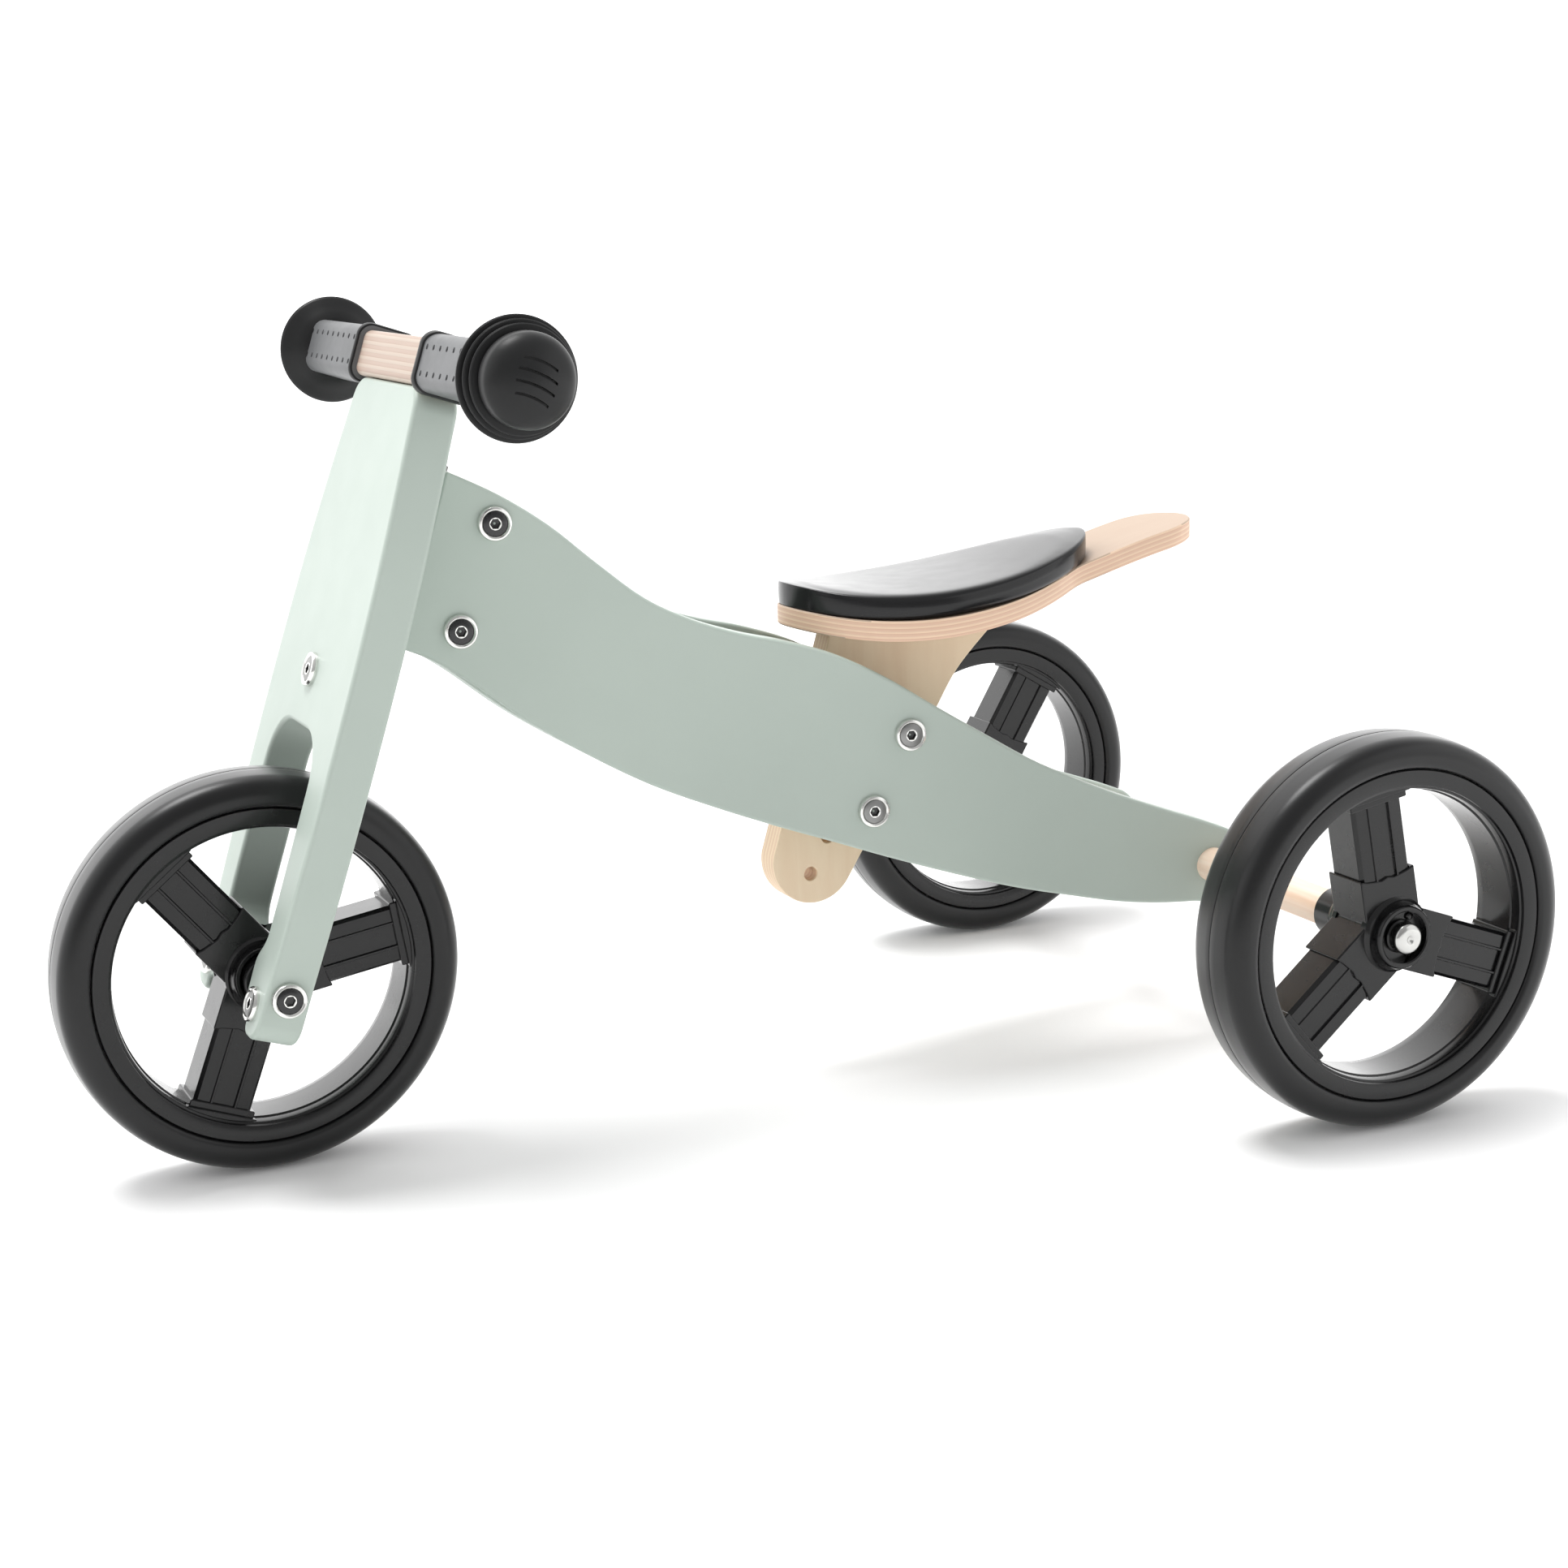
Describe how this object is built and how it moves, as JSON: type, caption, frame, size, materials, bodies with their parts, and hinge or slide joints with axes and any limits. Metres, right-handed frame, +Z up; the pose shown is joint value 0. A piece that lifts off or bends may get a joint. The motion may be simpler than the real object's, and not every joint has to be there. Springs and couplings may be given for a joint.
{
  "type": "balance bike",
  "caption": "Wooden balance bike in its three-wheeled form: steered plank fork, splayed painted side panels, padded seat on an adjustable post.",
  "frame": {"origin": "on the floor, on the centre plane, midway between the front and rear axles", "axes": "+Z up, -X forward (the way the bike rides), +Y towards the rider's right"},
  "size_m": [0.68, 0.4486, 0.3973],
  "materials": {
    "sage_paint": "sage green satin paint on plywood",
    "plywood": "clear-lacquered birch plywood",
    "seat_vinyl": "glossy black vinyl",
    "grip_rubber": "matt dark grey rubber",
    "tyre_foam": "matt black foam",
    "black_plastic": "satin black moulded plastic",
    "nickel": "nickel plated",
    "black_steel": "blacked steel with bright edges"
  },
  "bodies": {
    "frame": {"left_panel": "sage_paint", "right_panel": "sage_paint", "head_block": "sage_paint", "steering_pin": "nickel", "head_bolt_upper": "black_steel", "head_nut_upper": "black_steel", "head_bolt_lower": "black_steel", "head_nut_lower": "black_steel", "post_bolt_upper": "nickel", "post_nut_upper": "nickel", "post_bolt_lower": "nickel", "post_nut_lower": "nickel", "post_spacer_upper_left": "black_plastic", "post_spacer_upper_right": "black_plastic", "post_spacer_lower_left": "black_plastic", "post_spacer_lower_right": "black_plastic", "seat_post": "plywood", "seat_board": "plywood", "seat_pad": "seat_vinyl", "seat_screw_front": "nickel", "seat_screw_rear": "nickel", "rear_axle_dowel": "plywood", "rear_spacer_left": "black_plastic", "rear_wheel_bolt_left": "nickel", "rear_spacer_right": "black_plastic", "rear_wheel_bolt_right": "nickel"},
    "steering": {"fork": "sage_paint", "hinge_leaf": "nickel", "hinge_bolt": "nickel", "hinge_screw_lower": "nickel", "hinge_screw_upper": "nickel", "leg_bolt_left": "nickel", "leg_bolt_right": "nickel", "handlebar": "plywood", "bar_screw_left": "nickel", "bar_screw_right": "nickel", "grip_left": "grip_rubber", "grip_right": "grip_rubber", "front_axle_bolt": "black_steel", "front_axle_nut": "black_steel", "front_spacer_left": "black_plastic", "front_spacer_right": "black_plastic"},
    "front_wheel": {"front_tyre": "tyre_foam", "front_rim": "black_plastic", "front_bush_left": "black_plastic", "front_bush_right": "black_plastic"},
    "rear_left_wheel": {"rear_left_tyre": "tyre_foam", "rear_left_rim": "black_plastic", "rear_left_bush_left": "black_plastic", "rear_left_bush_right": "black_plastic"},
    "rear_right_wheel": {"rear_right_tyre": "tyre_foam", "rear_right_rim": "black_plastic", "rear_right_bush_left": "black_plastic", "rear_right_bush_right": "black_plastic"}
  },
  "joints": [
    {"name": "steering", "type": "hinge", "parent": "frame", "child": "steering", "pos_m": [-0.15893, 0, 0.28132], "axis": [0.3173, 0, 0.9483], "range_deg": [-30, 30]},
    {"name": "front_wheel_spin", "type": "hinge", "parent": "steering", "child": "front_wheel", "pos_m": [-0.245, 0, 0.095], "axis": [0, 1, 0], "continuous": true},
    {"name": "rear_left_wheel_spin", "type": "hinge", "parent": "frame", "child": "rear_left_wheel", "pos_m": [0.245, -0.2, 0.095], "axis": [0, 1, 0], "continuous": true},
    {"name": "rear_right_wheel_spin", "type": "hinge", "parent": "frame", "child": "rear_right_wheel", "pos_m": [0.245, 0.2, 0.095], "axis": [0, 1, 0], "continuous": true}
  ]
}
